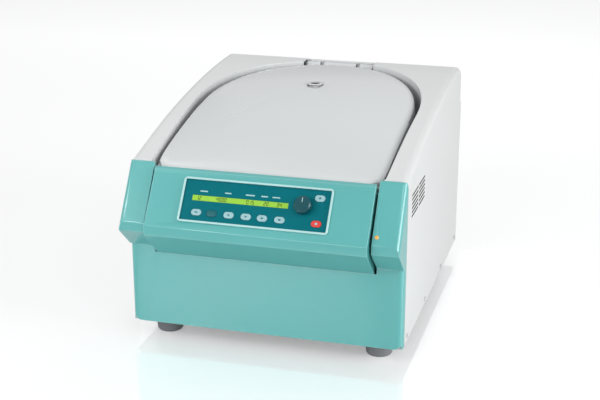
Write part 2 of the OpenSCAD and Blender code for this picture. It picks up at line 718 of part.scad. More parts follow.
// Top surface of the lid at (x, u), for the outline's point p
lid_len = lid_rear - lid_front;
function crown_z(u) = crown_h * sin(180 * pow(max(0, min(1, (u - lid_front) / lid_len)), 0.8));
function lid_z(x, u) = top_z(u) - lid_sink + crown_z(u) * (1 - pow(min(1, abs(x) / lid_half(u)), 2));
function lid_half(u) = u < lid_mid ? lid_w / 2
    : max(30, lid_w / 2 * sqrt(max(0, 1 - pow((u - lid_mid) / lid_back, 2))));
port_r = 13.5;
edge_round = 7;
port = [0, rotor_u];
lid_n = len(lid_outline(0));
// A ring between the port's circle (t = 0) and the outline grown by g (t = 1)
function port_angle(k) = let (p = lid_outline(0)[k] - port) atan2(p[1], p[0]);
function port_edge(k) = port + port_r * [cos(port_angle(k)), sin(port_angle(k))];
function ring_xy(t, g) = let (o = lid_outline(g))
    [for (k = [0 : lid_n - 1]) (1 - t) * port_edge(k) + t * o[k]];
function ring_on_top(t, g, drop) = [for (p = ring_xy(t, g)) [p[0], p[1], lid_z(p[0], p[1]) - drop]];
function ring_at_foot(g) = [for (p = ring_xy(1, g)) [p[0], p[1], deck_z(p[1]) + seal_gap]];
steps_out = [0, 0.06, 0.16, 0.28, 0.4, 0.52, 0.64, 0.75, 0.84, 0.92];
lid_rings = concat(
    [for (t = steps_out) ring_on_top(t, -edge_round, 0)],
    [ring_on_top(1, -edge_round, 0), ring_on_top(1, -edge_round * 0.45, edge_round * 0.15),
        ring_on_top(1, -edge_round * 0.12, edge_round * 0.5), ring_on_top(1, 0, edge_round)],
    [ring_at_foot(0), ring_at_foot(-lid_wall)],
    [ring_on_top(1, -lid_wall, edge_round + lid_wall), ring_on_top(1, -edge_round - lid_wall, lid_wall + 1)],
    [for (i = [len(steps_out) - 2 : -2 : 0]) ring_on_top(steps_out[i], -edge_round - lid_wall, lid_wall)]
);
ring_count = len(lid_rings);
module lid_skin() polyhedron(
    points = [for (ring = lid_rings, p = ring) p],
    faces = [for (j = [0 : ring_count - 1], k = [0 : lid_n - 1], half = [0, 1])
        let (j2 = (j + 1) % ring_count, k2 = (k + 1) % lid_n,
            a = j * lid_n + k, b = j * lid_n + k2, c = j2 * lid_n + k2, d = j2 * lid_n + k)
        half == 0 ? [a, b, c] : [a, c, d]],
    convexity = 6
);
module lid_cover() color(white) in_case() difference() {
    lid_skin();
    // Notches through which the hinge arms leave the lid
    for (s = [-1, 1]) box_at([s * hinge_x - arm_w / 2 - 1, rotor_u + 100, 0],
        [s * hinge_x + arm_w / 2 + 1, case_d, hinge_h - 4]);
}

module lid_plate() color(steel) in_case() difference() {
    intersection() {
        linear_extrude(case_h) polygon(lid_outline(-lid_wall - fit));
        across(-half_w, half_w) polygon([
            [0, deck_z(0) + seal_gap], [deck_bend, deck_h + seal_gap], [case_d, deck_h + seal_gap],
            [case_d, deck_h + seal_gap + plate_t], [deck_bend, deck_h + seal_gap + plate_t],
            [0, deck_z(0) + seal_gap + plate_t]]);
    }
    translate([0, rotor_u, deck_h]) cylinder(r = port_r + fit, h = 40);
}

port_top = lid_z(0, rotor_u);
flange_lift = 1.1;
module window_ring() color([0.8, 0.82, 0.84]) in_case() translate([0, rotor_u, 0]) difference() {
    union() {
        translate([0, 0, deck_h + seal_gap + 0.2])
            cylinder(r = port_r - 1, h = port_top - deck_h - seal_gap + flange_lift);
        translate([0, 0, port_top + flange_lift]) cylinder(r1 = port_r + 3.5, r2 = port_r + 1.5, h = 2);
    }
    translate([0, 0, deck_h]) cylinder(r = port_r - 3.5, h = case_h);
    translate([0, 0, port_top - 4]) cylinder(r = port_r - 2 , h = 30);
}
module lid_window() color([0.2, 0.24, 0.26]) in_case() translate([0, rotor_u, port_top - 4 + 0.05])
    cylinder(r = port_r - 2.2, h = 4);

// Hinges

barrel_r = 10.5;
arm_foot = 118;
plate_top = deck_h + seal_gap + plate_t;
module hinge_arms() color(steel) in_case() for (s = [-1, 1]) difference() {
    union() {
        across(s * hinge_x - arm_w / 2, s * hinge_x + arm_w / 2) {
            polygon([
                [hinge_u - arm_foot, plate_top + 0.02], [hinge_u - 36, plate_top + 0.02],
                [hinge_u - 26, plate_top + 12], [hinge_u + 2, hinge_h - barrel_r + 1],
                [hinge_u - 7, hinge_h + 3], [hinge_u - 44, plate_top + 26],
                [hinge_u - 54, plate_top + 8], [hinge_u - arm_foot, plate_top + 6]]);
            translate([hinge_u, hinge_h]) circle(barrel_r);
        }
    }
    translate([s * hinge_x, hinge_u, hinge_h]) rotate([0, 90, 0])
        cylinder(r = hinge_pin_d / 2 + run_gap, h = 2 * arm_w, center = true);
}

bracket_t = 5;
bracket_gap = 0.6;
bar_top = 356;
bar_h = 18;
bar_front = lid_rear + lid_gap + sheet + fit;
bar_back = upper_rear - sheet - fit;
module hinge_brackets() color(steel) in_case() for (s = [-1, 1], e = [-1, 1])
    translate([s * hinge_x + e * (arm_w / 2 + bracket_gap + bracket_t / 2), 0, 0]) difference() {
        across(-bracket_t / 2, bracket_t / 2) {
            polygon([[bar_front, bar_top], [bar_back, bar_top], [bar_back, hinge_h - 10],
                [hinge_u + 8, hinge_h], [hinge_u - 8, hinge_h]]);
            translate([hinge_u, hinge_h]) circle(8.4);
        }
        translate([0, hinge_u, hinge_h]) rotate([0, 90, 0])
            cylinder(r = hinge_pin_d / 2 + 0.02, h = 40, center = true);
    }

pin_half = arm_w / 2 + bracket_gap + bracket_t + 2;
module hinge_pins() color(dark) in_case() for (s = [-1, 1])
    translate([s * hinge_x, hinge_u, hinge_h]) rotate([0, 90, 0])
        cylinder(r = hinge_pin_d / 2, h = 2 * pin_half, center = true);

// Torsion springs that carry the lid's weight, on the outer ends of the pins
module hinge_springs() color([0.4, 0.42, 0.45]) in_case() for (s = [-1, 1])
    translate([s * (hinge_x + pin_half - 2 + fit), hinge_u, hinge_h]) rotate([0, s * 90, 0]) difference() {
        cylinder(r = 8, h = 46);
        translate([0, 0, -1]) cylinder(r = hinge_pin_d / 2 + 0.3, h = 60);
    }

// Steel bar across the rear that carries the hinges
module rear_crossbar() color(steel) in_case() difference() {
    box_at([-half_w + sheet + fit, bar_front, bar_top - bar_h],
        [half_w - sheet - fit, bar_back, bar_top - fit]);
    box_at([-half_w, bar_front + sheet, bar_top - bar_h - 1],
        [half_w, bar_back - sheet, bar_top - fit - sheet]);
}

// Latches

latch_x = 150;
latch_u = 112;
striker_t = 4;
striker_l = 22;
striker_drop = 30;
bolt_r = 4;
bolt_z = deck_z(latch_u) - 16;
unit_l = 52;
unit_h = 34;
module lid_strikers() color(steel) in_case() for (s = [-1, 1]) difference() {
    across(s * latch_x - striker_t / 2, s * latch_x + striker_t / 2) polygon([
        [latch_u - striker_l / 2, deck_z(latch_u) + seal_gap - striker_drop],
        [latch_u + striker_l / 2, deck_z(latch_u) + seal_gap - striker_drop],
        [latch_u + striker_l / 2, deck_z(latch_u + striker_l / 2) + seal_gap - 0.2],
        [latch_u - striker_l / 2, deck_z(latch_u - striker_l / 2) + seal_gap - 0.2]]);
    translate([s * latch_x, latch_u, bolt_z]) cube([20, 11, 11], center = true);
}

unit_half = 30;
slot_side = 1.5;
module striker_slot(s) box_at([s * latch_x - striker_t / 2 - slot_side, latch_u - striker_l / 2 - 10, 0],
    [s * latch_x + striker_t / 2 + slot_side, latch_u + striker_l / 2 + 3, case_h]);
module latch_units() color(dark) in_case() for (s = [-1, 1]) difference() {
    across(s * latch_x - unit_half, s * latch_x + unit_half) polygon([
        [latch_u - unit_l / 2, deck_z(latch_u) - unit_h - sheet],
        [latch_u + unit_l / 2, deck_z(latch_u) - unit_h - sheet],
        [latch_u + unit_l / 2, deck_z(latch_u + unit_l / 2) - sheet - 2 * fit],
        [latch_u - unit_l / 2, deck_z(latch_u - unit_l / 2) - sheet - 2 * fit]]);
    striker_slot(s);
    translate([s * latch_x, latch_u, bolt_z]) rotate([0, 90, 0])
        cylinder(r = bolt_r + run_gap, h = 4 * unit_half, center = true);
}

bolt_l = 30;
module bolt(side) color(steel) in_case()
    translate([side * latch_x - striker_t / 2 - slot_side - 1 - bolt_l, latch_u, bolt_z])
        rotate([0, 90, 0]) cylinder(r = bolt_r, h = bolt_l);

// Electrics

electrics_u = 46;
module power_board() color([0.1, 0.4, 0.25]) in_case() translate([-half_w + 167, electrics_u, sheet]) {
    for (x = [8, 212], y = [8, 112]) translate([x, y, 0]) cylinder(r = 3.5, h = 12.1, $fn = 32);
    translate([0, 0, 12]) cube([220, 120, 1.8]);
    for (x = [30, 70, 110]) translate([x, 86, 13.7]) cylinder(r = 16, h = 50, $fn = 48);
    translate([150, 60, 13.7]) cube([54, 46, 44]);
    translate([20, 16, 13.7]) cube([90, 34, 22]);
}

module heat_sink() color([0.6, 0.62, 0.64]) in_case() translate([half_w - 152, electrics_u, sheet]) {
    cube([90, 110, 8]);
    for (i = [0 : 8]) translate([i * 10.5 + 1, 0, 7.9]) cube([3, 110, 60]);
}

module mains_inlet() color(dark) in_case() translate([inlet_x, rear_face, inlet_z]) difference() {
    union() {
        translate([-25, 0.05, -15]) cube([50, 3, 30]);
        translate([-13.7, -26, -10.2]) cube([27.4, 27, 20.4]);
    }
    difference() {
        translate([-12, -20, -8.2]) cube([24, 30, 16.4]);
        // Contact blades
        for (p = [[-7, -2], [0, 3], [7, -2]]) translate([p[0] - 1, -21, p[1] - 2]) cube([2, 17, 4]);
    }
}

module switch_frame() color(dark) in_case() translate([switch_x, rear_face, inlet_z]) difference() {
    union() {
        translate([-12.5, 0.05, -17]) cube([25, 2, 34]);
        translate([-9.7, -22, -14.2]) cube([19.4, 23, 28.4]);
    }
    translate([-8, -20, -12.4]) cube([16, 40, 24.8]);
    translate([0, -4, 0]) rotate([0, 90, 0]) cylinder(r = 1.5 + run_gap, h = 30, center = true, $fn = 48);
}
module mains_rocker() color([0.1, 0.1, 0.1])
    in_case() translate([switch_x, rear_face - 4, inlet_z]) rotate([rocker_tilt, 0, 0]) {
    translate([-7.7, -3, -11]) cube([15.4, 7.6, 22]);
    rotate([0, 90, 0]) cylinder(r = 1.5, h = 18.4, center = true, $fn = 48);
}
rocker_tilt = -8;

// Stand

module feet() color([0.55, 0.56, 0.58]) in_case()
    for (s = [-1, 1], u = [foot_u, case_d - foot_u]) translate([s * (half_w - foot_in), u, -foot_h])
        rotate_extrude() difference() {
            polygon([[0, 0], [foot_d / 2 - 5, 0], [foot_d / 2 - 3, 3], [foot_d / 2, foot_h - 8],
                [foot_d / 2, foot_h], [0, foot_h]]);
            translate([0, -1]) square([9, 7]);
        }

base_pan();
case_shell();
rear_panel();
deck_plate();
front_panel();
console();
keypad_frame();
keypad_plate();
display_window();
control_board();
setting_knob();
key(key_places[0], [0.3, 0.5, 0.55]);  // key_1
key(key_places[1], [0.05, 0.35, 0.4]);  // key_2
key(key_places[2], [0.3, 0.5, 0.55]);  // key_3
key(key_places[3], [0.3, 0.5, 0.55]);  // key_4
key(key_places[4], [0.3, 0.5, 0.55]);  // key_5
key(key_places[5], [0.3, 0.5, 0.55]);  // key_6
key(start_place, [0.6, 0.75, 0.75]);  // start_key
key(stop_place, [0.85, 0.15, 0.12]);  // stop_key
pilot_lamp();
release_bush();
rotor_bowl();
guard_ring();
bowl_seal();
drive_motor();
motor_plate();
motor_dampers();
drive_shaft();
rotor_yoke();
rotor_nut();
placed_carrier(-1);  // left_carrier
placed_carrier(1);  // right_carrier
lid_cover();
lid_plate();
lid_window();
window_ring();
hinge_arms();
hinge_brackets();
hinge_pins();
hinge_springs();
rear_crossbar();
lid_strikers();
latch_units();
bolt(-1);  // left_bolt
bolt(1);  // right_bolt
power_board();
heat_sink();
mains_inlet();
switch_frame();
mains_rocker();
feet();
case_screws();
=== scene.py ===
# %% [markdown]
# # A benchtop centrifuge for microplates
# The machine stands on four feet: a white steel case, a teal moulded front with its console, and a crowned
# lid with a small viewing port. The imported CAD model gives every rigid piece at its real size, so it is
# loaded first and stays where it is. This lesson adds the studio, the finishes and the fine shapes.

# %% Load the frame
import json
import math

import bmesh
import bpy
from mathutils import Matrix, Vector

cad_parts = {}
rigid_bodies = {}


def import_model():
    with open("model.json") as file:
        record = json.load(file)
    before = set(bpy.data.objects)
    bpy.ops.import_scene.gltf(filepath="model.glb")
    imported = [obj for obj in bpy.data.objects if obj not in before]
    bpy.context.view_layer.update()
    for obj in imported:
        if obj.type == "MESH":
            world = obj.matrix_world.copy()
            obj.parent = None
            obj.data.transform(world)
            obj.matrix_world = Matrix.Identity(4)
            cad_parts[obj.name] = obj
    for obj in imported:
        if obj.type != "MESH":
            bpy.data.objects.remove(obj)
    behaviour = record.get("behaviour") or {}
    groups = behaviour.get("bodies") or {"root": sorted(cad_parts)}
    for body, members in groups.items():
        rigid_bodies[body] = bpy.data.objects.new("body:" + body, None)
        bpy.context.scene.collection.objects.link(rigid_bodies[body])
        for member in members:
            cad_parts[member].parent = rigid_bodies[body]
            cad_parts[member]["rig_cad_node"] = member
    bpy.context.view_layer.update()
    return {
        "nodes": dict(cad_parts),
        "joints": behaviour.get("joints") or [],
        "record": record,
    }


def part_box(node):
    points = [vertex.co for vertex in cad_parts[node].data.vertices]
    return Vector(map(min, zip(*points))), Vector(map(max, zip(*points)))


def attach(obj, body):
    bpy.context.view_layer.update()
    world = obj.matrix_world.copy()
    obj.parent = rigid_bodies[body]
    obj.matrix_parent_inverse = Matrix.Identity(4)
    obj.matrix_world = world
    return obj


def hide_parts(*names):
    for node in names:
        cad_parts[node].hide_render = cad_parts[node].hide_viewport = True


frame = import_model()
MM = 0.001

# %% [markdown]
# ## Camera
# The photograph was taken from the machine's right, a little above the lid, with a long lens. The place and
# the angles come from fitting the case's corners to the picture, so nothing here is guessed by eye.

# %% Set up the camera
CAMERA_PLACE = (0.688, -2.473, 1.093)
CAMERA_YAW = 0.274
CAMERA_PITCH = 0.327
LENS_MM = 76.31
camera_data = bpy.data.cameras.new("camera")
camera_data.lens = LENS_MM
camera = bpy.data.objects.new("camera", camera_data)
camera.location = CAMERA_PLACE
camera.rotation_euler = (math.pi / 2 - CAMERA_PITCH, 0, CAMERA_YAW)
bpy.context.scene.collection.objects.link(camera)
bpy.context.scene.camera = camera
print("camera", CAMERA_PLACE, "lens", LENS_MM, "mm")

# %% [markdown]
# ## Studio
# The picture shows a white product studio: soft light from the upper left and from the right, a little from
# above and from behind, and a pale floor that mirrors the machine faintly. Area lights give the soft edges,
# and a pale world fills the shadows. Two smaller lights draw the bright lines along the chin and the edges
# of the mouldings. The standard view keeps whites white.

# %% Light the studio
# Each light has its place, its width and height in metres, and its power in watts
LIGHTS = {
    "key_light": ((-1.7, -1.9, 1.5), 0.8, 0.8, 20),
    "top_light": ((-1.6, 0.6, 2.6), 1.2, 1.2, 5),
    "side_light": ((3.0, -0.6, 1.1), 1.3, 1.3, 48),
    "rear_light": ((-0.6, 3.0, 2.2), 2.2, 2.2, 4),
    "chin_strip": ((-0.87, -3.1, 1.1), 1.1, 0.45, 10),
    "edge_strip": ((1.45, -2.0, 2.3), 0.5, 1.1, 7),
}
AIM = Vector((0, 0, 0.2))
WORLD_STRENGTH = 0.52


def add_area_light(name, place, width, height, power):
    data = bpy.data.lights.new(name, "AREA")
    data.shape = "RECTANGLE"
    data.size = width
    data.size_y = height
    data.energy = power
    light = bpy.data.objects.new(name, data)
    light.location = place
    light.rotation_euler = (AIM - Vector(place)).to_track_quat("-Z", "Y").to_euler()
    bpy.context.scene.collection.objects.link(light)


for light_name, (place, width, height, power) in LIGHTS.items():
    add_area_light(light_name, place, width, height, power)
bpy.context.scene.view_settings.view_transform = "Standard"
world = bpy.data.worlds.new("studio")
world.use_nodes = True
background = world.node_tree.nodes["Background"]
background.inputs["Color"].default_value = (1, 1, 1, 1)
background.inputs["Strength"].default_value = WORLD_STRENGTH
bpy.context.scene.world = world
print(len(LIGHTS), "lights and a pale world")

# %% [markdown]
# ## Tools for the bench
# Every new piece is shaped with Blender's operators. They act on whatever is selected, so each helper first
# clears the selection. A finished piece has its place in its mesh and its object at the origin.


# %% Selection and placing
def pick(*pieces):
    bpy.ops.object.select_all(action="DESELECT")
    for piece in pieces:
        piece.select_set(True)
    bpy.context.view_layer.objects.active = pieces[-1]


def added(name):
    """Names the object that an operator has just added."""
    piece = bpy.context.object
    piece.name = name
    piece.data.name = name
    return piece


def settle(piece, matrix=None):
    """Puts the piece's place into its mesh."""
    pick(piece)
    if matrix is not None:
        piece.matrix_world = matrix @ piece.matrix_world
    bpy.ops.object.transform_apply(location=True, rotation=True, scale=True)
    return piece


def smooth(piece, degrees):
    """Shades the piece smooth, but keeps edges sharp that turn by more than the angle."""
    pick(piece)
    bpy.ops.object.shade_smooth_by_angle(angle=math.radians(degrees))


def apply_modifier(piece, kind, **settings):
    """Adds a modifier with these settings and applies it."""
    pick(piece)
    modifier = piece.modifiers.new(kind, kind)
    for label, value in settings.items():
        setattr(modifier, label, value)
    bpy.ops.object.modifier_apply(modifier=modifier.name)


print("tools for whole pieces ready")


# %% Working inside a mesh
def edit(piece):
    pick(piece)
    bpy.ops.object.mode_set(mode="EDIT")


def leave_edit():
    bpy.ops.object.mode_set(mode="OBJECT")


def select_parts(piece, kind, wanted):
    """Selects the vertices, edges or faces for which wanted(part) holds, in edit mode, and counts them."""
    mesh = bmesh.from_edit_mesh(piece.data)
    mesh.select_mode = {kind}
    parts = {"VERT": mesh.verts, "EDGE": mesh.edges, "FACE": mesh.faces}[kind]
    for part in parts:
        part.select_set(bool(wanted(part)))
    mesh.select_flush_mode()
    bmesh.update_edit_mesh(piece.data)
    return sum(part.select for part in parts)


def looks_up(face):
    return face.normal.z > 0.9


def resize_all(size):
    """Stretches the whole mesh about the origin."""
    bpy.ops.mesh.select_all(action="SELECT")
    bpy.ops.transform.resize(value=size, center_override=(0, 0, 0))


def start_block(name, size):
    """A block about the origin, left in edit mode with all of it selected."""
    bpy.ops.object.select_all(action="DESELECT")
    bpy.ops.mesh.primitive_cube_add(size=1)
    block = added(name)
    edit(block)
    resize_all(size)
    return block


def inset_steps(*steps):
    """Insets the selected faces again and again: each step goes inwards and up, in millimetres."""
    for inwards, rise in steps:
        bpy.ops.mesh.inset(thickness=inwards * MM, depth=rise * MM)


print("tools for meshes ready")

# %% [markdown]
# ## Shared effects
# Real surfaces are never even: paint has a faint orange peel, mouldings a fine grain, and every edge is a
# little rounded. The edges are also painted paler: a little wear, and on the paint and the teal mouldings a
# painted highlight. Two shader node groups make these effects once, with inputs for each material's values.


# %% Node group helpers
def new_group(name, inputs, outputs):
    """A shader node group with float inputs {name: default} and outputs {name: socket type}."""
    group = bpy.data.node_groups.new(name, "ShaderNodeTree")
    for label, default in inputs.items():
        socket = group.interface.new_socket(label, in_out="INPUT", socket_type="NodeSocketFloat")
        socket.default_value = default
    for label, kind in outputs.items():
        group.interface.new_socket(label, in_out="OUTPUT", socket_type=kind)
    source = group.nodes.new("NodeGroupInput")
    result = group.nodes.new("NodeGroupOutput")
    return group, source, result


def wire(tree, pairs):
    for start, end in pairs:
        tree.links.new(start, end)


def add_math(tree, operation, kind="ShaderNodeMath"):
    node = tree.nodes.new(kind)
    node.operation = operation
    return node


def add_range(tree, from_low, from_high, to_low, to_high):
    """Maps a value from one range to another."""
    node = tree.nodes.new("ShaderNodeMapRange")
    limits = {"From Min": from_low, "From Max": from_high, "To Min": to_low, "To Max": to_high}
    for label, value in limits.items():
        node.inputs[label].default_value = value
    return node


print("node helpers ready")


# %% Group: surface grain
def make_grain_group():
    """A noise height for bump and a slow variation for colour and gloss, in the piece's own coordinates."""
    group, source, result = new_group(
        "surface_grain", {"Grain Scale": 900, "Patch Scale": 9},
        {"Height": "NodeSocketFloat", "Patches": "NodeSocketFloat"})
    place = group.nodes.new("ShaderNodeTexCoord")
    grain = group.nodes.new("ShaderNodeTexNoise")
    grain.inputs["Detail"].default_value = 3
    patches = group.nodes.new("ShaderNodeTexNoise")
    patches.inputs["Detail"].default_value = 2
    wire(group, [
        (place.outputs["Object"], grain.inputs["Vector"]),
        (place.outputs["Object"], patches.inputs["Vector"]),
        (source.outputs["Grain Scale"], grain.inputs["Scale"]),
        (source.outputs["Patch Scale"], patches.inputs["Scale"]),
        (grain.outputs["Fac"], result.inputs["Height"]),
        (patches.outputs["Fac"], result.inputs["Patches"]),
    ])
    return group


GRAIN = make_grain_group()
print("group", GRAIN.name)


# %% Group: worn edges
def make_edge_group():
    """Rounds edges in the shading and marks them for a paler colour, wear and painted highlight: the rounded
    normal differs from the true one there.
    """
    group, source, result = new_group(
        "edge_wear_and_highlight", {"Radius": 0.001, "Sharpness": 6},
        {"Normal": "NodeSocketVector", "Mask": "NodeSocketFloat"})
    rounded = group.nodes.new("ShaderNodeBevel")
    rounded.samples = 6
    geometry = group.nodes.new("ShaderNodeNewGeometry")
    match = add_math(group, "DOT_PRODUCT", "ShaderNodeVectorMath")
    gap = add_math(group, "SUBTRACT")
    gap.inputs[0].default_value = 1
    strength = add_math(group, "MULTIPLY")
    strength.use_clamp = True
    wire(group, [
        (source.outputs["Radius"], rounded.inputs["Radius"]),
        (rounded.outputs["Normal"], match.inputs[0]),
        (geometry.outputs["Normal"], match.inputs[1]),
        (match.outputs["Value"], gap.inputs[1]),
        (gap.outputs["Value"], strength.inputs[0]),
        (source.outputs["Sharpness"], strength.inputs[1]),
        (rounded.outputs["Normal"], result.inputs["Normal"]),
        (strength.outputs["Value"], result.inputs["Mask"]),
    ])
    return group


EDGES = make_edge_group()
print("group", EDGES.name)

# %% [markdown]
# ## Finishes
# One builder joins the groups to a Principled shader: colour with slow patches and paler edges, which stand
# for wear and for a painted highlight, roughness with the same patches, and a bump from the grain on top of
# the rounded normal. Each finish of the machine then only says its own colours, gloss and grain.

# %% The common build of a finish
# Nearly all of a noise lies in this range
NOISE_SPREAD = (0.3, 0.7)


def make_finish(name, colour, wear_and_highlight_colour, rough, grain_depth, grain_scale=900, patch_scale=9,
                patch_depth=0.05, rough_depth=0.08, radius=0.001, wear_and_highlight_share=0.35, metal=0.0):
    material = bpy.data.materials.new(name)
    material.use_nodes = True
    tree = material.node_tree
    shader = tree.nodes["Principled BSDF"]
    shader.inputs["Metallic"].default_value = metal
    grain = tree.nodes.new("ShaderNodeGroup")
    grain.node_tree = GRAIN
    grain.inputs["Grain Scale"].default_value = grain_scale
    grain.inputs["Patch Scale"].default_value = patch_scale
    edges = tree.nodes.new("ShaderNodeGroup")
    edges.node_tree = EDGES
    edges.inputs["Radius"].default_value = radius
    patches = add_range(tree, *NOISE_SPREAD, 1 - patch_depth, 1 + patch_depth)
    tinted = add_math(tree, "SCALE", "ShaderNodeVectorMath")
    tinted.inputs[0].default_value = colour
    share = add_math(tree, "MULTIPLY")
    share.inputs[1].default_value = wear_and_highlight_share
    mix = tree.nodes.new("ShaderNodeMix")
    mix.data_type = "RGBA"
    mix.inputs["B"].default_value = (*wear_and_highlight_colour, 1)
    gloss = add_range(tree, *NOISE_SPREAD, rough - rough_depth / 2, rough + rough_depth / 2)
    bump = tree.nodes.new("ShaderNodeBump")
    bump.inputs["Strength"].default_value = 1
    bump.inputs["Distance"].default_value = grain_depth
    wire(tree, [
        (grain.outputs["Patches"], patches.inputs["Value"]),
        (patches.outputs["Result"], tinted.inputs["Scale"]),
        (tinted.outputs["Vector"], mix.inputs["A"]),
        (edges.outputs["Mask"], share.inputs[0]),
        (share.outputs["Value"], mix.inputs["Factor"]),
        (mix.outputs["Result"], shader.inputs["Base Color"]),
        (grain.outputs["Patches"], gloss.inputs["Value"]),
        (gloss.outputs["Result"], shader.inputs["Roughness"]),
        (grain.outputs["Height"], bump.inputs["Height"]),
        (edges.outputs["Normal"], bump.inputs["Normal"]),
        (bump.outputs["Normal"], shader.inputs["Normal"]),
    ])
    return material


print("one build for every finish")

# %% The finishes of the machine
# Each has its name, its colour, the paler colour of its edges (wear, and a painted highlight), its roughness
# and the depth of its grain in metres; then, where they differ from the common values, the scales of grain
# and patches and their depths
# White paint and lid paint have wide, strong pale edges: a painted highlight along their rims and folds.
white_paint = make_finish("white_paint", (0.79, 0.81, 0.81), (0.95, 0.96, 0.96), 0.32, 0.00002, 420, 5,
                          0.015, radius=0.003, wear_and_highlight_share=0.6)
lid_paint = make_finish("lid_paint", (0.72, 0.745, 0.755), (0.96, 0.97, 0.97), 0.26, 0.00002, 420, 4, 0.015,
                        radius=0.007, wear_and_highlight_share=0.9)
# The teal's pale edges are a painted highlight that draws the bright lines along the chin and the ends.
teal_moulding = make_finish("teal_moulding", (0.11, 0.475, 0.465), (0.48, 0.86, 0.84), 0.34, 0.00003, 700, 6,
                            0.02, radius=0.0026, wear_and_highlight_share=0.8)
aqua_moulding = make_finish("aqua_moulding", (0.50, 0.79, 0.78), (0.72, 0.93, 0.92), 0.33, 0.00002, 700, 9,
                            0.02, radius=0.0008)
petrol_foil = make_finish("petrol_foil", (0.0, 0.165, 0.2), (0.02, 0.22, 0.25), 0.28, 0.00001, 1500, 14,
                          0.03)
pale_key = make_finish("pale_key", (0.35, 0.6, 0.64), (0.6, 0.82, 0.85), 0.4, 0.00001, 1500, 60, 0.03)
dark_key = make_finish("dark_key", (0.0, 0.13, 0.15), (0.03, 0.24, 0.26), 0.4, 0.00001, 1500, 60, 0.03)
red_key = make_finish("red_key", (0.8, 0.06, 0.05), (0.9, 0.3, 0.25), 0.4, 0.00001, 1500, 60, 0.03)
knob_moulding = make_finish("knob_moulding", (0.0, 0.075, 0.095), (0.02, 0.2, 0.23), 0.32, 0.00002, 1200, 40)
display_glow = make_finish("display_glow", (0.28, 0.55, 0.05), (0.3, 0.55, 0.06), 0.2, 0.000005, 900, 25)
board_lacquer = make_finish("board_lacquer", (0.02, 0.2, 0.09), (0.1, 0.35, 0.2), 0.4, 0.00001, 900, 30, 0.2)
amber_lens = make_finish("amber_lens", (0.9, 0.38, 0.03), (0.98, 0.6, 0.15), 0.15, 0.00001, 900, 80)
black_moulding = make_finish("black_moulding", (0.025, 0.026, 0.028), (0.08, 0.08, 0.085), 0.48, 0.00003)
seal_rubber = make_finish("seal_rubber", (0.03, 0.031, 0.033), (0.07, 0.07, 0.07), 0.65, 0.00004, 600)
foot_rubber = make_finish("foot_rubber", (0.24, 0.25, 0.26), (0.33, 0.34, 0.35), 0.6, 0.00005, 500, 20, 0.08)
stainless = make_finish("stainless", (0.62, 0.63, 0.64), (0.75, 0.76, 0.77), 0.27, 0.00001, 300, 12, 0.04,
                        0.1, metal=1.0)
zinc_steel = make_finish("zinc_steel", (0.55, 0.56, 0.57), (0.7, 0.7, 0.71), 0.36, 0.00002, 500, 22, 0.12,
                         0.16, metal=1.0)
satin_aluminium = make_finish("satin_aluminium", (0.6, 0.61, 0.63), (0.75, 0.76, 0.77), 0.33, 0.00002, 900,
                              16, 0.05, 0.1, metal=1.0)
motor_paint = make_finish("motor_paint", (0.05, 0.053, 0.057), (0.12, 0.12, 0.13), 0.5, 0.00008, 350, 12,
                          0.15)
port_disc = make_finish("port_disc", (0.012, 0.014, 0.016), (0.03, 0.03, 0.035), 0.35, 0.000002, 900, 12)
print_ink = make_finish("print_ink", (0.42, 0.7, 0.72), (0.6, 0.85, 0.86), 0.5, 0.000005, 1500, 40, 0.04)
legend_ink = make_finish("legend_ink", (0.03, 0.16, 0.19), (0.05, 0.2, 0.22), 0.5, 0.000005, 1500, 40, 0.04)
digit_ink = make_finish("digit_ink", (0.055, 0.11, 0.01), (0.08, 0.14, 0.02), 0.45, 0.000005, 1500, 40, 0.04)
# Grey for the strip round the lid: painted shade in the gap.
gap_shade_grey = make_finish("gap_shade_grey", (0.2, 0.21, 0.22), (0.28, 0.29, 0.3), 0.6, 0.00004, 600)


def set_sockets(material, values):
    """Gives the shader's own sockets a value that is the same all over."""
    for label, value in values.items():
        material.node_tree.nodes["Principled BSDF"].inputs[label].default_value = value


set_sockets(teal_moulding, {"Coat Weight": 0.7, "Coat Roughness": 0.1})
set_sockets(aqua_moulding, {"Coat Weight": 0.3, "Coat Roughness": 0.2})
set_sockets(lid_paint, {"Coat Weight": 0.4, "Coat Roughness": 0.14})
set_sockets(white_paint, {"Coat Weight": 0.3, "Coat Roughness": 0.2})
set_sockets(petrol_foil, {"Specular IOR Level": 0.12})
set_sockets(display_glow, {"Emission Color": (0.32, 0.6, 0.05, 1), "Emission Strength": 0.25})
set_sockets(amber_lens, {"Emission Color": (0.9, 0.36, 0.03, 1), "Emission Strength": 0.3,
                         "Coat Weight": 0.8})
set_sockets(port_disc, {"Specular IOR Level": 0.05})
print(len(bpy.data.materials), "finishes")

